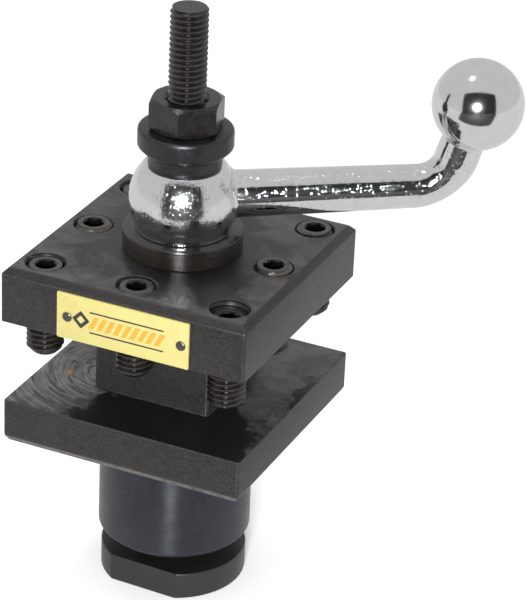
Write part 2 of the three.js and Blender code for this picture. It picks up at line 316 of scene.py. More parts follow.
class Surface:
    """A Principled material whose colour, roughness and bump come from procedural textures."""

    def __init__(self, name, metallic=0.0, roughness=0.5, ior=1.5, coat=0.0, coat_roughness=0.1):
        self.material = bpy.data.materials.new(name)
        self.material.use_nodes = True
        self.tree = self.material.node_tree
        self.shader = self.tree.nodes["Principled BSDF"]
        self.shader.inputs["Metallic"].default_value = metallic
        self.shader.inputs["Roughness"].default_value = roughness
        self.shader.inputs["IOR"].default_value = ior
        self.shader.inputs["Coat Weight"].default_value = coat
        self.shader.inputs["Coat Roughness"].default_value = coat_roughness
        self.place = self.node("ShaderNodeTexCoord").outputs["Object"]
        self.height = None

    def node(self, kind, **settings):
        made = self.tree.nodes.new(kind)
        for key, value in settings.items():
            setattr(made, key, value)
        return made

    def link(self, source, target):
        self.tree.links.new(source, target)

    def mapped(self, source, socket, value):
        """Coordinates moved, turned or scaled."""
        mapping = self.node("ShaderNodeMapping")
        mapping.inputs[socket].default_value = value
        self.link(source, mapping.inputs["Vector"])
        return mapping.outputs["Vector"]

    def noise(self, scale, detail=4.0, rough=0.55, warp=0.0, heading=0.0):
        """Noise with features of about 1/scale metres, or with three scales in axes turned by heading."""
        x, y, z = scale if isinstance(scale, tuple) else (scale,) * 3
        place = self.mapped(self.place, "Rotation", (0, 0, -heading)) if heading else self.place
        made = self.node("ShaderNodeTexNoise")
        made.inputs["Scale"].default_value = 1.0
        made.inputs["Detail"].default_value = detail
        made.inputs["Roughness"].default_value = rough
        made.inputs["Distortion"].default_value = warp
        self.link(self.mapped(place, "Scale", (x, y, z)), made.inputs["Vector"])
        return made.outputs["Fac"]

    def wiped(self, x, y, z, width, length):
        """Streaks that bend round an upright line through a point, as a wipe leaves, in millimetres."""
        usual_reach = 15
        offset = self.mapped(self.place, "Location", Vector((-x, -y, -z)) * MM)
        offset = self.mapped(offset, "Scale", (1 / MM, 1 / MM, 0))
        split = self.node("ShaderNodeSeparateXYZ")
        self.link(offset, split.inputs["Vector"])
        reach = self.node("ShaderNodeVectorMath", operation="LENGTH")
        self.link(offset, reach.inputs[0])
        polar = self.node("ShaderNodeCombineXYZ")
        self.link(self.math("DIVIDE", reach.outputs["Value"], width), polar.inputs["X"])
        angle = self.math("ARCTAN2", split.outputs["Y"], split.outputs["X"])
        self.link(self.math("MULTIPLY", angle, usual_reach / length), polar.inputs["Y"])
        made = self.node("ShaderNodeTexNoise")
        for socket, value in (("Scale", 1.0), ("Detail", 5.0), ("Roughness", 0.6), ("Distortion", 1.1)):
            made.inputs[socket].default_value = value
        self.link(polar.outputs["Vector"], made.inputs["Vector"])
        return made.outputs["Fac"]

    def near(self, x, y, z, radius, soft, ragged=0.0, long=1.0):
        """1 inside a ball round a point, falling to 0 over soft past its ragged edge, in millimetres.

        long is how many times its width the ball measures along Y.
        """
        offset = self.mapped(self.place, "Location", Vector((-x, -y, -z)) * MM)
        offset = self.mapped(offset, "Scale", (1, 1 / long, 1))
        length = self.node("ShaderNodeVectorMath", operation="LENGTH")
        self.link(offset, length.inputs[0])
        distance = length.outputs["Value"]
        if ragged:
            wander = self.ranged(self.noise(200, 5, 0.6), 0.3, 0.7, -ragged * MM / 2, ragged * MM / 2)
            distance = self.math("ADD", distance, wander)
        return self.ranged(distance, radius * MM, (radius + soft) * MM, 1, 0)

    def facing_up(self):
        """1 on faces that face up, where dust and oil settle."""
        split = self.node("ShaderNodeSeparateXYZ")
        self.link(self.node("ShaderNodeTexCoord").outputs["Normal"], split.inputs["Vector"])
        return self.ranged(split.outputs["Z"], 0.8, 0.95)

    def ranged(self, value, low, high, out_low=0.0, out_high=1.0):
        made = self.node("ShaderNodeMapRange")
        for key, number in zip(("From Min", "From Max", "To Min", "To Max"), (low, high, out_low, out_high)):
            made.inputs[key].default_value = number
        self.link(value, made.inputs["Value"])
        return made.outputs["Result"]

    def math(self, operation, a, b):
        made = self.node("ShaderNodeMath", operation=operation)
        for index, value in enumerate((a, b)):
            if isinstance(value, (int, float)):
                made.inputs[index].default_value = value
            else:
                self.link(value, made.inputs[index])
        return made.outputs["Value"]

    def mix(self, factor, a, b):
        """Mixes two colours, each a tuple or a socket."""
        made = self.node("ShaderNodeMix", data_type="RGBA")
        sockets = {socket.identifier: socket for socket in made.inputs}
        self.link(factor, sockets["Factor_Float"])
        self.set_colour(sockets["A_Color"], a)
        self.set_colour(sockets["B_Color"], b)
        return [socket for socket in made.outputs if socket.type == "RGBA"][0]

    def set_colour(self, socket, value):
        if isinstance(value, tuple):
            socket.default_value = (*value, 1)
        else:
            self.link(value, socket)

    def brushed(self, amount):
        """Fine turning marks round the Z axis, which draw a highlight out along the axis."""
        tangent = self.node("ShaderNodeTangent", direction_type="RADIAL", axis="Z")
        self.link(tangent.outputs["Tangent"], self.shader.inputs["Tangent"])
        self.shader.inputs["Anisotropic"].default_value = amount
        self.shader.inputs["Anisotropic Rotation"].default_value = TURNING_DIRECTION

    def colour(self, value):
        self.set_colour(self.shader.inputs["Base Color"], value)

    def roughness(self, value):
        self.link(value, self.shader.inputs["Roughness"])

    def bump(self, value, depth):
        """Adds relief, with depth in millimetres."""
        made = self.node("ShaderNodeBump")
        made.inputs["Distance"].default_value = depth * MM
        made.inputs["Strength"].default_value = 1.0
        self.link(value, made.inputs["Height"])
        if self.height is not None:
            self.link(self.height, made.inputs["Normal"])
        self.height = made.outputs["Normal"]
        self.link(self.height, self.shader.inputs["Normal"])


# ---- materials ----------------------------------------------------------------------------------------


MILLED_IOR = 1.5
TURNED_IOR = 1.6


def oil_and_shade_mask(s, up):
    """1 where oil lies: in front of the collar, and on the front and the right of the ledge. On the ledge's
    front, under the upper flange, the pool is also painted shade.
    """
    pools_and_shade = s.math("MAXIMUM", s.near(*COLLAR_OIL, 10, 4, 6), s.near(*LEDGE_OIL_AND_SHADE, 24.5, 3, 8))
    return s.math("MULTIPLY", up, s.math("MAXIMUM", pools_and_shade, s.near(*RIGHT_SMEAR, 5, 2, 5, 2.2)))


def dust_and_shade(s, dry, grain):
    """How much dust lies on dry faces that face up, patchy. Less lies beside the collar, where oil also lies,
    and the darker top there is painted shade round the collar.
    """
    # painted shade: dust is taken away beside the collar so the top is darker there
    shade_by_collar = s.near(0, 0, TURRET_TOP, 16, 16)
    left = s.math("SUBTRACT", s.ranged(s.noise(110, 6, 0.65, 0.8), 0.36, 0.62, 0.15, 1.15), shade_by_collar)
    return s.math("MULTIPLY", dry, s.math("MULTIPLY", left, s.ranged(grain, 0.25, 0.7, 0.45, 1.1)))


def milled_black(name, tints, low, high):
    """Black oxide on milled steel, with dust, oil, a wiped smear, dried oil and rust where it faces up.
    Painted light in it too: shade on the ledge's front under the upper flange and beside the collar, a
    reflection of the backdrop in the smear's pale streaks, and a glint along the dried oil.
    """
    s = Surface(name, roughness=0.4, ior=MILLED_IOR)
    dark, pale, worn, dust = tints
    grain = s.noise(2300, 3, 0.65)
    fine = s.noise(900, 4, 0.65)
    tone = s.mix(s.ranged(s.noise(60, 5, 0.6, 0.6), 0.35, 0.68), dark, pale)
    tone = s.mix(s.ranged(grain, 0.42, 0.7, 0, 0.8), tone, worn)

    up = s.facing_up()
    # oil, with painted shade on the ledge's front under the upper flange
    oil_and_shade = oil_and_shade_mask(s, up)
    dry = s.math("SUBTRACT", up, oil_and_shade)
    tone = s.mix(dust_and_shade(s, dry, grain), tone, dust)
    # the oil colour is darker: on the ledge's front it is painted shade under the upper flange
    tone = s.mix(s.math("MULTIPLY", oil_and_shade, s.ranged(fine, 0.3, 0.6, 0.6, 1)), tone, OIL_AND_SHADE_TINT)

    smear_and_reflection = s.math("MULTIPLY", s.near(*LEFT_SMEAR_AND_REFLECTION, 10, 13, 8), dry)
    arcs = s.wiped(*WIPE_CENTRE, 1.7, 11)
    # pale streaks of grease, partly a painted reflection of the bright backdrop
    tone = s.mix(s.math("MULTIPLY", smear_and_reflection, s.ranged(arcs, 0.4, 0.62, 0.1, 0.95)), tone, PALE_STREAK_AND_REFLECTION)
    tone = s.mix(s.math("MULTIPLY", smear_and_reflection, s.ranged(arcs, 0.41, 0.36)), tone, DARK_STREAK)
    # a line of dried oil along the right smear's edge, with a painted glint on it
    tide_and_glint = s.math("MULTIPLY", dry, s.near(*RIGHT_SMEAR, 5.4, 1.3, 5, 2.2))
    tone = s.mix(s.math("MULTIPLY", tide_and_glint, s.ranged(fine, 0.45, 0.62, 0, 0.7)), tone, DRIED_OIL_AND_GLINT)
    rust = s.math("MULTIPLY", s.near(*RUST_SPOT, 0.6, 1.2), s.ranged(fine, 0.35, 0.6))
    s.colour(s.mix(rust, tone, RUST))

    dull = s.ranged(fine, 0.2, 0.8, low, high)
    s.roughness(s.math("SUBTRACT", dull, s.math("MULTIPLY", oil_and_shade, low - OIL_ROUGHNESS)))
    s.bump(s.noise((2200, 140, 2200), 3, 0.6), 0.004)
    s.bump(s.noise((140, 2200, 2200), 3, 0.6), 0.004)
    s.bump(grain, 0.014)
    s.bump(s.math("MULTIPLY", smear_and_reflection, arcs), 0.9)
    s.bump(s.math("MULTIPLY", tide_and_glint, fine), 0.4)
    s.bump(s.math("MULTIPLY", oil_and_shade, fine), 0.06)
    return s.material


def turned_black(name, tint, low, high, rings=(3800, 0.006), brushed=0.85, sheen=(1, 1, 1)):
    """Black oxide on turned steel, with fine rings round the axis, given as rings per metre and depth."""
    s = Surface(name, roughness=0.35, ior=TURNED_IOR)
    s.shader.inputs["Specular Tint"].default_value = (*sheen, 1)
    if brushed:
        s.brushed(brushed)
    broad = s.noise(90, 4, 0.6, 0.4)
    specks = s.ranged(s.noise(1300, 3, 0.6), 0.66, 0.74, 0, 0.35)
    tone = s.mix(s.ranged(broad, 0.35, 0.7), tint, tuple(c * 1.8 for c in tint))
    s.colour(s.mix(specks, tone, (0.12, 0.11, 0.11)))
    s.roughness(s.ranged(s.noise(300, 5, 0.7), 0.3, 0.7, low, high))
    count, depth = rings
    s.bump(s.noise((60, 60, count), 3, 0.6), depth)
    s.bump(s.noise(700, 4, 0.6), 0.007)
    return s.material


def thread_black(name, tints):
    """Black oxide on rolled threads: oily glints over dark roots."""
    s = Surface(name, metallic=0.2, roughness=0.28, ior=TURNED_IOR)
    grime = s.noise(500, 4, 0.6)
    s.colour(s.mix(s.ranged(grime, 0.35, 0.7), *tints))
    s.roughness(s.ranged(s.noise(900, 4, 0.7), 0.3, 0.7, 0.14, 0.3))
    s.bump(s.noise(1500, 3, 0.6), 0.014)
    return s.material


def worn_steel(name, tint, low, high):
    """Edges where the black has rubbed off in patches, so that the steel shows."""
    s = Surface(name, roughness=0.35)
    rubbed = s.ranged(s.noise(420, 5, 0.7, 0.5), 0.38, 0.62)
    s.colour(s.mix(rubbed, (0.03, 0.027, 0.025), tint))
    s.link(s.ranged(rubbed, 0, 1, 0.1, 0.85), s.shader.inputs["Metallic"])
    s.roughness(s.ranged(s.noise(900, 3, 0.6), 0.3, 0.7, low, high))
    s.bump(s.noise(1100, 4, 0.6), 0.012)
    return s.material


def chrome(name, low, high):
    """Chromium plate over a polished forging that isn't quite even, as a Surface."""
    s = Surface(name, metallic=1.0, roughness=low)
    haze = s.noise(260, 5, 0.65)
    s.colour(s.mix(s.ranged(haze, 0.3, 0.75), (0.82, 0.82, 0.83), (0.74, 0.745, 0.755)))
    s.roughness(s.ranged(haze, 0.3, 0.75, low, high))
    s.bump(s.noise(110, 2, 0.5), 0.01)
    s.bump(s.noise(1500, 3, 0.6), 0.004)
    return s


def forged_chrome(name, low, high):
    """Chrome on the forged lever: wavy, with polishing marks and small pits, and dimpled round the hub."""
    s = chrome(name, low, high)
    s.bump(s.noise(140, 2, 0.5), 0.1)
    s.bump(s.noise((900, 240, 240), 2, 0.5, heading=HEADING), 0.008)
    s.bump(s.ranged(s.noise((1700, 1300, 1300), 1, 0.5, heading=HEADING), 0.62, 0.76), 0.035)
    hub = s.near(0, 0, HUB_CENTRE, HUB_RADIUS, 2)
    s.bump(s.math("MULTIPLY", hub, s.noise(1200, 2, 0.55)), 0.05)
    duller_hub = s.math("MULTIPLY", hub, 0.06)
    s.roughness(s.math("ADD", s.ranged(s.noise(260, 5), 0.3, 0.75, low, high), duller_hub))
    return s.material


def bright_steel(name, tint):
    s = Surface(name, metallic=1.0, roughness=0.3)
    grain = s.noise(900, 4, 0.6)
    s.colour(s.mix(grain, tint, tuple(c * 0.7 for c in tint)))
    s.roughness(s.ranged(grain, 0.3, 0.7, 0.22, 0.4))
    s.bump(grain, 0.006)
    return s.material


def plate_lacquer(name, tint, roughness):
    """Ink or lacquer on a thin metal plate, faintly mottled."""
    s = Surface(name, metallic=0.0, roughness=roughness)
    mottle = s.noise(320, 5, 0.6)
    s.colour(s.mix(s.ranged(mottle, 0.3, 0.7), tint, tuple(c * 0.93 for c in tint)))
    s.roughness(s.ranged(mottle, 0.3, 0.7, roughness - 0.06, roughness + 0.08))
    s.bump(s.noise(1400, 3, 0.5), 0.002)
    return s.material


COLLAR_OIL = (12, -18, TURRET_TOP)
# oil on the ledge's front, which also paints the shade under the upper flange
LEDGE_OIL_AND_SHADE = (10, -32, SLOT_FLOOR)
# the smear on the ledge's left, with a painted reflection of the backdrop in its pale streaks
LEFT_SMEAR_AND_REFLECTION = (-28, -14, SLOT_FLOOR)
WIPE_CENTRE = (-15, -6, SLOT_FLOOR)
RIGHT_SMEAR = (37, 7, SLOT_FLOOR)
RUST_SPOT = (-26.5, -12.5, SLOT_FLOOR)

OIL_ROUGHNESS = 0.26
# colour of oil, and of the painted shade on the ledge's front
OIL_AND_SHADE_TINT = (0.006, 0.0054, 0.004)
# dried oil, partly a painted glint
DRIED_OIL_AND_GLINT = (0.2, 0.19, 0.13)
# pale grease streaks, partly a painted reflection of the backdrop
PALE_STREAK_AND_REFLECTION = (0.19, 0.185, 0.176)
DARK_STREAK = (0.008, 0.0075, 0.006)
RUST = (0.42, 0.2, 0.04)
BLUE_SHEEN = (0.9, 0.92, 1.0)
DARK_SHEEN = (0.8, 0.8, 0.86)

BLACK_TINTS = (
    (0.004, 0.0034, 0.0032), (0.009, 0.008, 0.0077), (0.026, 0.0235, 0.0225), (0.066, 0.062, 0.06),
)
MILLED = milled_black("milled_black", BLACK_TINTS, 0.33, 0.45)
WORN_EDGE = worn_steel("worn_edge", (0.05, 0.047, 0.044), 0.35, 0.5)
RUBBED_CHAMFER = worn_steel("rubbed_chamfer", (0.18, 0.17, 0.165), 0.35, 0.5)
RISER_BLACK = turned_black("riser_black", (0.0045, 0.0045, 0.0068), 0.25, 0.33, brushed=0.92,
                           sheen=BLUE_SHEEN)
COLLAR_BLACK = turned_black("collar_black", (0.0065, 0.0053, 0.004), 0.18, 0.3, (2000, 0.09), brushed=0.8)
WASHER_BLACK = turned_black("washer_black", (0.004, 0.0038, 0.0045), 0.3, 0.42, brushed=0, sheen=DARK_SHEEN)
TEE_BLACK = turned_black("tee_nut_black", (0.005, 0.0043, 0.004), 0.36, 0.48, (1700, 0.01), brushed=0)
NUT_BLACK = thread_black("nut_black", ((0.006, 0.005, 0.0048), (0.014, 0.0125, 0.012)))
STUD_THREADS = thread_black("stud_threads", ((0.005, 0.0044, 0.004), (0.016, 0.013, 0.011)))
SCREW_THREADS = thread_black("screw_threads", ((0.006, 0.0055, 0.005), (0.022, 0.018, 0.015)))
THREAD_CREST = worn_steel("thread_crest", (0.07, 0.066, 0.062), 0.14, 0.3)
SCREW_RIM = worn_steel("screw_rim", (0.12, 0.112, 0.1), 0.2, 0.4)
# painted shade: a darker black for the inside of the screws' sockets
SOCKET_PAINTED_SHADE = thread_black("socket_black", ((0.002, 0.002, 0.002), (0.006, 0.005, 0.004)))
ARM_CHROME = forged_chrome("arm_chrome", 0.06, 0.1)
BALL_CHROME = chrome("ball_chrome", 0.09, 0.14).material
SPRING_STEEL = bright_steel("spring_steel", (0.55, 0.55, 0.57))
HARD_STEEL = bright_steel("hard_steel", (0.42, 0.42, 0.43))
PIN_STEEL = bright_steel("pin_steel", (0.17, 0.16, 0.145))
YELLOW = plate_lacquer("plate_yellow", (0.398, 0.3515, 0.1185), 0.45)
INK_BLACK = plate_lacquer("ink_black", (0.02, 0.018, 0.015), 0.5)
INK_ORANGE = plate_lacquer("ink_orange", (0.41, 0.235, 0.014), 0.5)


# ---- base ---------------------------------------------------------------------------------------------


def tee_nut():
    """A disc with two flats and a boss, with a blind hole for the stud."""
    low, high = span("tee_nut")
    radius, boss, flats, ease, blind = 19.9, 9.0, 34.2, 0.45, 2
    disc = revolve(rounded([
        (0, low.z), (radius, low.z, ease), (radius, TEE_TOP, ease), (boss, TEE_TOP, 0.4), (boss, high.z, 0.4),
        (THREAD_RADIUS, high.z), (THREAD_RADIUS, low.z + blind), (0, low.z + blind),
    ]), 120)
    bar = prism(rectangle(4 * radius, flats, 0.2), low.z - 1, high.z + 1)
    return moved(combine(disc, bar, "INTERSECT"), turn=TEE_HEADING)


def riser():
    """A turned sleeve with a recess below for the T-nut's boss and a pilot above for the turret."""
    low, high = span("riser_sleeve")
    outer, pilot, recess, chamfer = high.x, 10.0, 9.5, 1.4
    recess_top = low.z + 9.2
    shoulder = TURRET_BOTTOM - 0.05
    body = revolve(rounded([
        (recess, low.z, 0.3), (outer - chamfer, low.z, 0.15), (outer, low.z + chamfer, 0.5),
        (outer, shoulder, 0.5), (pilot, shoulder, 0.3), (pilot, high.z, 0.5), (STUD_ROOM, high.z, 0.3),
        (STUD_ROOM, recess_top), (recess, recess_top),
    ]), 144, closed=True)
    bore = 3
    hole = revolve([(0, low.z - 1), (bore, low.z - 1), (bore, TURRET_BOTTOM + 1), (0, TURRET_BOTTOM + 1)], 40)
    return combine(body, moved(hole, DETENT.x, DETENT.y), "DIFFERENCE")


piece("tee_nut_turned", tee_nut(), "tee_nut_body", TEE_BLACK, "tee_nut")
piece("riser_turned", riser(), "base", RISER_BLACK, "riser_sleeve")


# ---- indexing detent ----------------------------------------------------------------------------------


def plunger():
    low, high = span("detent_plunger")
    nose, body, spigot = 2.2, 2.5, 0.8
    foot, neck = low.z + 2.8, high.z - 4.6
    shank = rounded([
        (spigot, low.z, 0.2), (spigot, foot), (body, foot, 0.2), (body, neck, 0.2), (nose, neck),
    ])[1:]
    dome = arc(nose, high.z - nose, 0, math.pi / 2, 10)
    return moved(revolve([(0, low.z), *shank, *dome[:-1], (0, high.z)], 48), DETENT.x, DETENT.y)


def sweep(points, radius, sides=10):
    """A round wire along a list of points, with its frame carried from each point to the next."""
    bm = bmesh.new()
    rings = []
    side = None
    for i, point in enumerate(points):
        along = (points[min(i + 1, len(points) - 1)] - points[max(i - 1, 0)]).normalized()
        side = (UP.cross(along) if side is None else side - along * side.dot(along)).normalized()
        other = along.cross(side)
        angles = [2 * math.pi * k / sides for k in range(sides)]
        spokes = [(side * math.cos(a) + other * math.sin(a)) * radius for a in angles]
        rings.append([bm.verts.new(point + spoke) for spoke in spokes])
    for lower, upper in zip(rings, rings[1:]):
        for k in range(sides):
            after = (k + 1) % sides
            bm.faces.new((lower[k], lower[after], upper[after], upper[k]))
    bm.faces.new(rings[0][::-1])
    bm.faces.new(rings[-1])
    bmesh.ops.recalc_face_normals(bm, faces=bm.faces)
    return bm


def spring():
    low, high = span("detent_spring")
    wire, coil, turns, steps = 0.3, 1.7, 5, 32
    points = []
    for k in range(turns * steps + 1):
        angle = 2 * math.pi * k / steps
        height = low.z + wire + (high.z - low.z - 2 * wire) * k / (turns * steps)
        points.append(Vector((DETENT.x + coil * math.cos(angle), DETENT.y + coil * math.sin(angle), height)))
    return sweep(points, wire)


def adjuster():
    """A fine-threaded screw with a hexagon socket in its underside."""
    low, high = span("detent_adjuster")
    radius, depth, end, socket_size = 2.7, 0.5, 2.1, 3
    bar = thread(radius, depth, low.z, high.z, end, end, 32)
    socket = prism(hexagon(socket_size), low.z - 1, low.z + socket_size)
    return moved(combine(bar, socket, "DIFFERENCE"), DETENT.x, DETENT.y)


piece("plunger_ground", plunger(), "detent", HARD_STEEL, "detent_plunger")
piece("adjuster_threaded", adjuster(), "base", SCREW_THREADS, "detent_adjuster")
coil_piece = piece("spring_wound", spring(), "base", SPRING_STEEL, "detent_spring")
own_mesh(coil_piece)


# ---- turret -------------------------------------------------------------------------------------------


def screw_holes():
    """Eight tapped holes: threaded near the mouth, with a countersink, open at the slots."""
    shapes = []
    wall = THREAD_RADIUS + 0.1
    bottom, top, mouth_bottom = SLOT_ROOF - 1, TURRET_TOP + 1, TURRET_TOP - 6
    depth, end = 0.45, wall - 0.4
    plain_top = mouth_bottom + 0.5
    for name in SCREW_NODES:
        place = middle(name)
        mouth = thread(wall + depth, depth, mouth_bottom, top, end, end, 36)
        plain = revolve([(0, bottom), (wall, bottom), (wall, plain_top), (0, plain_top)], 40)
        sink = revolve([(0, TURRET_TOP - 0.4), (wall, TURRET_TOP - 0.4), (wall + 0.6, TURRET_TOP + 0.2),
                        (0, TURRET_TOP + 0.2)], 48)
        drill = combine(combine(mouth, plain, "UNION"), sink, "UNION")
        shapes.append(moved(drill, place.x, place.y, turn=place.x + place.y))
    return join(*shapes)


def turret_blank():
    """The undrilled block, with eased edges. Material 1 is on its edges and 2 on the chamfer underneath."""
    lower, upper, core = LOWER_HALF, UPPER_HALF, CORE_HALF
    bottom = TURRET_BOTTOM
    profile = [
        (0, bottom), (lower - LOW_CHAMFER_INSET, bottom), (lower, bottom + LOW_CHAMFER_RISE),
        (lower, SLOT_FLOOR), (core, SLOT_FLOOR), (core, SLOT_ROOF), (upper, SLOT_ROOF),
        (upper, TURRET_TOP - TOP_CHAMFER), (upper - TOP_CHAMFER, TURRET_TOP), (0, TURRET_TOP),
    ]
    bm = revolve([(half * math.sqrt(2), z) for half, z in profile], 4)
    bm.transform(Matrix.Rotation(math.pi / 4, 4, "Z"))
    bmesh.ops.dissolve_limit(bm, angle_limit=math.radians(1), verts=bm.verts, edges=bm.edges)
    upright = [e for e in bm.edges if e.verts[0].co.xy == e.verts[1].co.xy]
    bmesh.ops.bevel(bm, geom=upright, offset=0.5, segments=1, affect="EDGES")
    for face in bm.faces:
        if 0.1 < face.calc_center_median().z - bottom < LOW_CHAMFER_RISE - 0.05:
            face.material_index = 2
    corners = [e for e in bm.edges if e.calc_face_angle(0) > 0.1]
    bmesh.ops.bevel(bm, geom=corners, offset=0.25, segments=3, profile=0.5, affect="EDGES", material=1)
    return bm


def turret_bore():
    """Room for the riser's pilot, with a flared mouth, and above it for the stud."""
    pilot, stud, below = 10.1, STUD_ROOM + 0.1, TURRET_BOTTOM - 1
    return revolve([
        (0, below), (pilot + 0.8, below), (pilot, TURRET_BOTTOM + 0.6), (pilot, PILOT_ROOM),
        (stud, PILOT_ROOM), (stud, TURRET_TOP + 1), (0, TURRET_TOP + 1),
    ], 72)


def detent_track():
    """The ring groove that the plunger runs in, and the four pockets above it that it springs into."""
    radius, half, depth = math.hypot(DETENT.x, DETENT.y), 2.8, 1.8
    pocket, pocket_depth, point_depth = 2.6, 2.1, 2.7
    below = TURRET_BOTTOM - 1
    groove = revolve(rounded([
        (radius - half, below), (radius + half, below),
        (radius + half, TURRET_BOTTOM + depth, 0.3), (radius - half, TURRET_BOTTOM + depth, 0.3),
    ]), 96, closed=True)
    pockets = []
    for quarter in range(4):
        drill = revolve([(0, below), (pocket, below), (pocket, TURRET_BOTTOM + pocket_depth),
                         (0, TURRET_BOTTOM + point_depth)], 32)
        angle = math.atan2(DETENT.y, DETENT.x) + quarter * math.pi / 2
        pockets.append(moved(drill, radius * math.cos(angle), radius * math.sin(angle)))
    return groove, join(*pockets)


def turret():
    block = turret_blank()
    for tool in (turret_bore(), *detent_track(), screw_holes()):
        block = combine(block, tool, "DIFFERENCE")
    return block


def collar():
    outer = span("thrust_collar")[1].x
    bottom = TURRET_TOP + 0.02
    return revolve(rounded([
        (STUD_ROOM, bottom, 0.3), (outer, bottom, 0.35), (outer, COLLAR_TOP, 0.45),
        (STUD_ROOM, COLLAR_TOP, 0.3),
    ]), 144, closed=True)


def set_screw_shape():
    """An M10 set screw from 0 down, with a hexagon socket and a cupped point."""
    length = span(SCREW_NODES[0])[1].z - span(SCREW_NODES[0])[0].z
    point, rim, socket_size, entry_radius, cup_radius, inner = 3.3, 4.25, 5, 2.95, 2.6, 3.1
    bar = thread(THREAD_RADIUS, THREAD_DEPTH, -length, 0, point, rim, 48)
    socket = prism(hexagon(socket_size), -socket_size, 1)
    entry = revolve([(0, -0.5), (2.5, -0.5), (entry_radius, -0.05), (entry_radius, 1), (0, 1)], 48)
    cup = revolve([(0, -length - 1), (cup_radius, -length - 1), (cup_radius, -length - 0.05),
                   (0, -length + 1.1)], 36)
    for tool in (socket, entry, cup):
        bar = combine(bar, tool, "DIFFERENCE")
    for face in bar.faces:
        middle_point = face.calc_center_median()
        inside = math.hypot(middle_point.x, middle_point.y) < inner
        if middle_point.z > -0.75:
            face.material_index = 1
        # faces inside the socket take the darker material: painted shade in the recess
        if inside and -5.5 < middle_point.z < -0.01:
            face.material_index = 2
    return mark_crests(bar, 3)


def set_screws():
    shape = set_screw_shape()
    for index, name in enumerate(SCREW_NODES):
        low, high = span(name)
        place = (low + high) / 2
        copy = moved(shape.copy(), place.x, place.y, high.z, turn=0.2 + index * 0.73)
        piece(name + "_threaded", copy, name.replace("set_", ""),
              [SCREW_THREADS, SCREW_RIM, SOCKET_PAINTED_SHADE, THREAD_CREST], name)
    shape.free()


def face_up(bm, x, z):
    """Stands a flat shape up against the turret's front face, with its own up side facing out."""
    bm.transform(Matrix.Translation((x, -UPPER_HALF, z)) @ Matrix.Rotation(math.pi / 2, 4, "X"))
    return bm


def name_plate():
    """A thin plate with generic marks: a border, a square turret sign and a hatched band. No lettering."""
    low, high = span("name_plate")
    centre = (low + high) / 2
    width, height, thick = high.x - low.x, high.z - low.z, 0.55
    plate = prism(rectangle(width, height, 0.35), 0, thick)
    bmesh.ops.bevel(plate, geom=[e for e in plate.edges if all(v.co.z > thick / 2 for v in e.verts)],
                    offset=0.08, segments=2, profile=0.5, affect="EDGES")
    piece("name_plate_sheet", face_up(plate, centre.x, centre.z), "turret", YELLOW,
          "name_plate")
    ink = 0.02
    bands = []
    count, pitch, band_height = 9, 2.35, 3.6
    for k in range(count):
        x = (k - (count - 1) / 2) * pitch + 1.2
        lean, half = 0.9, 0.72
        outline = [(x - half - lean, -band_height / 2), (x + half - lean, -band_height / 2),
                   (x + half + lean, band_height / 2), (x - half + lean, band_height / 2)]
        bands.append(prism(outline, thick, thick + ink))
    piece("name_plate_hatching", face_up(join(*bands), centre.x, centre.z - 0.2), "turret",
          INK_ORANGE)
    marks = []
    for y in (-band_height / 2 - 1.1, band_height / 2 + 1.1):
        marks.append(moved(prism(rectangle(count * pitch, 0.42, 0.1), thick, thick + ink), 1.2, y - 0.2))
    sign = combine(prism(rectangle(3.6, 3.6, 0.3), thick, thick + ink),
                   prism(rectangle(1.7, 1.7, 0.2), thick - 1, thick + 1), "DIFFERENCE")
    marks.append(moved(sign, -11.9, 0, turn=math.pi / 4))
    piece("name_plate_marks", face_up(join(*marks), centre.x, centre.z), "turret", INK_BLACK)


def plate_pins():
    """Drive pins with low domed heads and a punched centre."""
    for node in PIN_NODES:
        low, high = span(node)
        place = (low + high) / 2
        seat = 0.56
        shape = revolve([
            (0, -3.5), (0.85, -3.5), (0.85, seat), (1.3, seat), (1.36, seat + 0.12), (1.25, seat + 0.32),
            (0.95, seat + 0.5), (0.55, seat + 0.56), (0.3, seat + 0.45), (0, seat + 0.4),
        ], 40)
        piece(node + "_domed", face_up(shape, place.x, place.z), "turret", PIN_STEEL, node)


piece("turret_milled", turret(), "turret", [MILLED, WORN_EDGE, RUBBED_CHAMFER], "turret_block")
piece("collar_turned", collar(), "turret", COLLAR_BLACK, "thrust_collar")
set_screws()
name_plate()
plate_pins()


# ---- clamping lever -----------------------------------------------------------------------------------

TILT = math.radians(3)
TURN = math.radians(70)
BEND = 10.5
LIFT = 0.4
ROOT_RADIUS, TIP_RADIUS = 6.45, 5.8
BEND_WAIST = 0.28


def lever_lengths():
    """Lengths of the arm's two straight runs, so that the bend between them brings it to the knob."""
    out = math.hypot(KNOB.x, KNOB.y) - BEND * (math.sin(TILT + TURN) - math.sin(TILT))
    up = KNOB.z - HUB_CENTRE - LIFT - BEND * (math.cos(TILT) - math.cos(TILT + TURN))
    swing = math.sin(TURN)
    first = (out * math.sin(TILT + TURN) - up * math.cos(TILT + TURN)) / swing
    second = (up * math.cos(TILT) - out * math.sin(TILT)) / swing
    return first, second


FIRST_RUN, SECOND_RUN = lever_lengths()
LEVER_LENGTH = FIRST_RUN + BEND * TURN + SECOND_RUN


def lever_point(length):
    """Outward distance, height and slope of the arm's centre line."""
    swing = min(max((length - FIRST_RUN) / BEND, 0), TURN)
    slope = TILT + swing
    before = min(length, FIRST_RUN)
    after = max(length - FIRST_RUN - BEND * swing, 0)
    out = before * math.cos(TILT) + BEND * (math.sin(slope) - math.sin(TILT)) + after * math.cos(slope)
    up = LIFT + before * math.sin(TILT) + BEND * (math.cos(TILT) - math.cos(slope)) + after * math.sin(slope)
    return out, HUB_CENTRE + up, slope


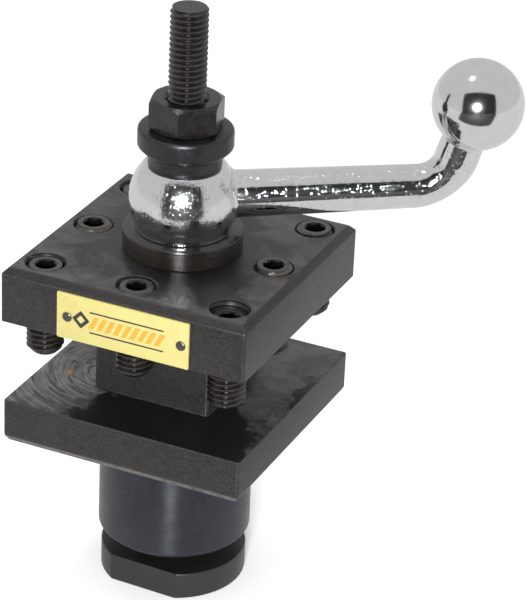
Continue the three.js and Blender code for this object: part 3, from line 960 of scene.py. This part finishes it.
def blended(distance, ball, bar, fillet):
    """Radius of a bar with a fillet where it meets a ball, at a distance from the ball's centre."""
    reach = math.sqrt((ball + fillet) ** 2 - (bar + fillet) ** 2)
    gap = reach - max(distance, reach * ball / (ball + fillet))
    return bar + fillet - math.sqrt(fillet**2 - gap**2) if gap > 0 else bar


def arm_section(length):
    """Radius of the arm and the offset of its middle, which thin the forging on the outside of the bend."""
    taper = ROOT_RADIUS + (TIP_RADIUS - ROOT_RADIUS) * min(length / FIRST_RUN, 1)
    into_bend = min(max((length - FIRST_RUN) / (BEND * TURN), 0), 1)
    waist = BEND_WAIST * math.sin(math.pi * into_bend)
    by_hub = blended(length, HUB_RADIUS, taper, 1.5)
    by_knob = blended(LEVER_LENGTH - length, KNOB_RADIUS, taper, 0.8)
    return max(by_hub, by_knob) - waist, waist


def arm():
    bm = bmesh.new()
    sides, start = 72, 9.0
    end = LEVER_LENGTH - KNOB_RADIUS * 0.85
    fine_start, fine_end = 18.0, LEVER_LENGTH - 16.0
    lengths = [start + (fine_start - start) * k / 40 for k in range(40)]
    lengths += [fine_start + (fine_end - fine_start) * k / 90 for k in range(90)]
    lengths += [fine_end + (end - fine_end) * k / 40 for k in range(41)]
    rings = []
    for length in lengths:
        out, height, slope = lever_point(length)
        radius, offset = arm_section(length)
        ring = []
        for k in range(sides):
            a = 2 * math.pi * k / sides
            across, lift = radius * math.sin(a), radius * math.cos(a) + offset
            ring.append(bm.verts.new((out - lift * math.sin(slope), across, height + lift * math.cos(slope))))
        rings.append(ring)
    for lower, upper in zip(rings, rings[1:]):
        for k in range(sides):
            after = (k + 1) % sides
            bm.faces.new((lower[k], lower[after], upper[after], upper[k]))
    bm.faces.new(rings[0][::-1])
    bm.faces.new(rings[-1])
    bmesh.ops.recalc_face_normals(bm, faces=bm.faces)
    return bm


def hub():
    """The ball hub, turned: a short neck below with a small fillet, cut flat on top, bored through."""
    neck_angle = -math.acos(NECK_RADIUS / HUB_RADIUS)
    top_angle = math.asin((HUB_TOP - HUB_CENTRE) / HUB_RADIUS)
    ball = arc(HUB_RADIUS, HUB_CENTRE, neck_angle + 0.06, top_angle - 0.02, 60)
    neck_top = HUB_CENTRE + HUB_RADIUS * math.sin(neck_angle)
    profile = [
        (HUB_BORE, COLLAR_TOP), (NECK_RADIUS - 0.3, COLLAR_TOP), (NECK_RADIUS, COLLAR_TOP + 0.3),
        (NECK_RADIUS, neck_top - 0.5), (NECK_RADIUS + 0.12, neck_top + 0.1), *ball,
        (HUB_RADIUS * math.cos(top_angle) - 0.35, HUB_TOP), (HUB_BORE, HUB_TOP),
    ]
    return revolve(profile, 144, closed=True)


def clamp_lever():
    bore = HUB_BORE
    bored = revolve([(0, COLLAR_TOP - 1), (bore, COLLAR_TOP - 1), (bore, HUB_TOP + 1), (0, HUB_TOP + 1)], 72)
    forging = combine(hub(), arm(), "UNION")
    forging = combine(forging, bored, "DIFFERENCE")
    return moved(forging, turn=HEADING)


def knob():
    """The ball on the arm's end."""
    out, height, slope = lever_point(LEVER_LENGTH)
    half_circle = arc(KNOB_RADIUS, 0, -math.pi / 2, math.pi / 2, 72)
    bm = revolve([(0, -KNOB_RADIUS), *half_circle[1:-1], (0, KNOB_RADIUS)], 120)
    bm.transform(Matrix.Translation((out, 0, height)) @ Matrix.Rotation(math.pi / 2 - slope, 4, "Y"))
    return moved(bm, turn=HEADING)


def stud():
    """The centre stud, threaded from end to end."""
    low, high = span("centre_stud")
    return mark_crests(thread(THREAD_RADIUS, THREAD_DEPTH, low.z, high.z, 3.9, 4.5, 48), 1)


def washer():
    """A thick washer with a boss under it and a chamfer on its lower edge."""
    low, high = span("shouldered_washer")
    outer, boss, bore = 12.6, 9.75, 5.25
    bottom, under = HUB_TOP, low.z + 3
    return revolve(rounded([
        (bore, bottom), (boss, bottom, 0.25), (boss, under, 0.3), (outer - 2, under, 0.3),
        (outer, under + 2, 0.35), (outer, high.z, 1.1), (bore, high.z, 0.2),
    ]), 144, closed=True)


def jam_nut():
    """A hexagon nut with chamfered corners and a countersunk bore."""
    bottom, top = span("shouldered_washer")[1].z, span("jam_nut")[1].z
    flats = 17.8
    corner = flats / math.sqrt(3)
    drop = (corner - flats / 2 + 0.3) * math.tan(math.radians(30))
    bound = revolve(rounded([
        (0, bottom), (flats / 2 - 0.3, bottom), (corner, bottom + drop), (corner, top - drop),
        (flats / 2 - 0.3, top), (0, top),
    ]), 120)
    nut = combine(prism(hexagon(flats, NUT_HEADING), bottom - 1, top + 1), bound, "INTERSECT")
    bore, mouth = 5.15, 6.1
    drill = revolve([(0, bottom - 1), (bore, bottom - 1), (bore, top - 0.9), (mouth, top + 0.05),
                     (mouth, top + 1), (0, top + 1)], 72)
    return combine(nut, drill, "DIFFERENCE")


piece("clamp_lever_forging", clamp_lever(), "lever", ARM_CHROME, "clamp_lever", sharp=35)
piece("lever_ball", knob(), "lever", BALL_CHROME, "lever_knob")
piece("stud_threaded", stud(), "lever", [STUD_THREADS, THREAD_CREST], "centre_stud")
piece("washer_turned", washer(), "lever", WASHER_BLACK, "shouldered_washer")
piece("jam_nut_chamfered", jam_nut(), "lever", NUT_BLACK, "jam_nut", sharp=18)


# ---- studio -------------------------------------------------------------------------------------------

CAMERA_AZIMUTH = math.radians(23.8)
CAMERA_ELEVATION = math.radians(27.1)
CAMERA_ROLL = math.radians(2.6)
CAMERA_DISTANCE = 0.769
CAMERA_AIM = Vector((0, 0, TURRET_TOP * MM))
CAMERA_SLIDE = 0.0218  # from the aim point to the frame's middle, to the right and up
CAMERA_RISE = -0.0134
LENS = 175.4


def direction(azimuth, elevation):
    """Unit vector from the object towards a place at that azimuth and elevation."""
    flat = math.cos(elevation)
    return Vector((math.sin(azimuth) * flat, -math.cos(azimuth) * flat, math.sin(elevation)))


def camera():
    back = direction(CAMERA_AZIMUTH, CAMERA_ELEVATION)
    right = Vector((math.cos(CAMERA_AZIMUTH), math.sin(CAMERA_AZIMUTH), 0))
    above = back.cross(right)
    place = CAMERA_AIM + right * CAMERA_SLIDE + above * CAMERA_RISE + back * CAMERA_DISTANCE
    rolled_right = right * math.cos(CAMERA_ROLL) + above * math.sin(CAMERA_ROLL)
    rolled_above = back.cross(rolled_right)
    turn = Matrix((rolled_right, rolled_above, back)).transposed()
    data = bpy.data.cameras.new("camera")
    data.lens = LENS
    data.sensor_width = 36
    data.clip_end = 20
    obj = bpy.data.objects.new("camera", data)
    obj.matrix_world = Matrix.Translation(place) @ turn.to_4x4()
    bpy.context.scene.collection.objects.link(obj)
    bpy.context.scene.camera = obj


def stage_material(name, tint, emission=0.0):
    material = bpy.data.materials.new(name)
    material.use_nodes = True
    shader = material.node_tree.nodes["Principled BSDF"]
    shader.inputs["Base Color"].default_value = (*tint, 1)
    shader.inputs["Roughness"].default_value = 0.9
    shader.inputs["Specular IOR Level"].default_value = 0.1
    shader.inputs["Emission Color"].default_value = (1, 1, 1, 1)
    shader.inputs["Emission Strength"].default_value = emission
    return material


def reflections_only(obj):
    obj.visible_camera = False
    obj.visible_diffuse = False
    obj.visible_shadow = False


def stage_sheet(name, corners, material, reflected_only):
    bm = bmesh.new()
    bm.faces.new([bm.verts.new(c) for c in corners])
    obj = bpy.data.objects.new(name, mesh_of(bm, name))
    obj.data.materials.append(material)
    bpy.context.scene.collection.objects.link(obj)
    if reflected_only:
        reflections_only(obj)
    return obj


def facing_sheet(name, centre, toward, half_width, half_height, material):
    """An upright rectangle that faces a point, seen only in reflections."""
    back = (centre - toward).normalized()
    right = UP.cross(back).normalized()
    above = back.cross(right)
    corners = [centre + right * half_width * x + above * half_height * y
               for x, y in ((-1, -1), (1, -1), (1, 1), (-1, 1))]
    stage_sheet(name, corners, material, reflected_only=True)


def lamp(name, azimuth, elevation, distance, size, power, toward):
    data = bpy.data.lights.new(name, "AREA")
    data.shape = "DISK"
    data.size = size
    data.energy = power
    obj = bpy.data.objects.new(name, data)
    back = direction(math.radians(azimuth), math.radians(elevation))
    obj.location = toward + back * distance
    obj.rotation_mode = "QUATERNION"
    obj.rotation_quaternion = (-back).to_track_quat("-Z", "Y")
    bpy.context.scene.collection.objects.link(obj)
    return obj


def tent(material):
    """A pale ball round the stage that only reflections see."""
    bm = bmesh.new()
    bmesh.ops.create_icosphere(bm, subdivisions=4, radius=5)
    obj = bpy.data.objects.new("pale_tent", mesh_of(bm, "pale_tent"))
    obj.data.materials.append(material)
    bpy.context.scene.collection.objects.link(obj)
    reflections_only(obj)


def studio():
    pale = stage_material("pale_floor", (0.93, 0.93, 0.925))
    reach = 3.0
    square = [(-reach, -reach), (reach, -reach), (reach, reach), (-reach, reach)]
    stage_sheet("floor", [(x, y, 0) for x, y in square], pale, reflected_only=False)
    dark = stage_material("dark_room", (0.02, 0.02, 0.02))
    grey = stage_material("grey_tent", (0.0, 0.0, 0.0), emission=0.62)
    table = stage_material("grey_table", (0.0, 0.0, 0.0), emission=0.72)
    tent(grey)
    lift = 0.0004
    stage_sheet("grey_table", [(x, y, lift) for x, y in square], table, reflected_only=True)
    centre = Vector((0, 0, 0.11))
    far = 3.0
    opening = direction(CAMERA_AZIMUTH, math.radians(15))
    facing_sheet("dark_opening", centre + opening * far, centre, 2.7, 2.3, dark)
    forward = direction(CAMERA_AZIMUTH, 0)
    sideways = Vector((math.cos(CAMERA_AZIMUTH), math.sin(CAMERA_AZIMUTH), 0))
    mat = [forward * a + sideways * b + UP * 2 * lift
           for a, b in ((0.22, -0.2), (0.22, 0.2), (2.6, 2.4), (2.6, -2.4))]
    stage_sheet("dark_table_edge", mat, dark, reflected_only=True)
    lamp("flash", math.degrees(CAMERA_AZIMUTH) - 4, 16.5, 1.6, 0.34, 34, centre)
    lamp("ceiling_lamp", -75, 77, 1.6, 0.17, 2.5, centre)
    world = bpy.data.worlds.new("white_tent")
    world.use_nodes = True
    background = world.node_tree.nodes["Background"]
    background.inputs["Color"].default_value = (1, 1, 1, 1)
    background.inputs["Strength"].default_value = 1.0
    bpy.context.scene.world = world
    bpy.context.scene.view_settings.view_transform = "Standard"


camera()
studio()
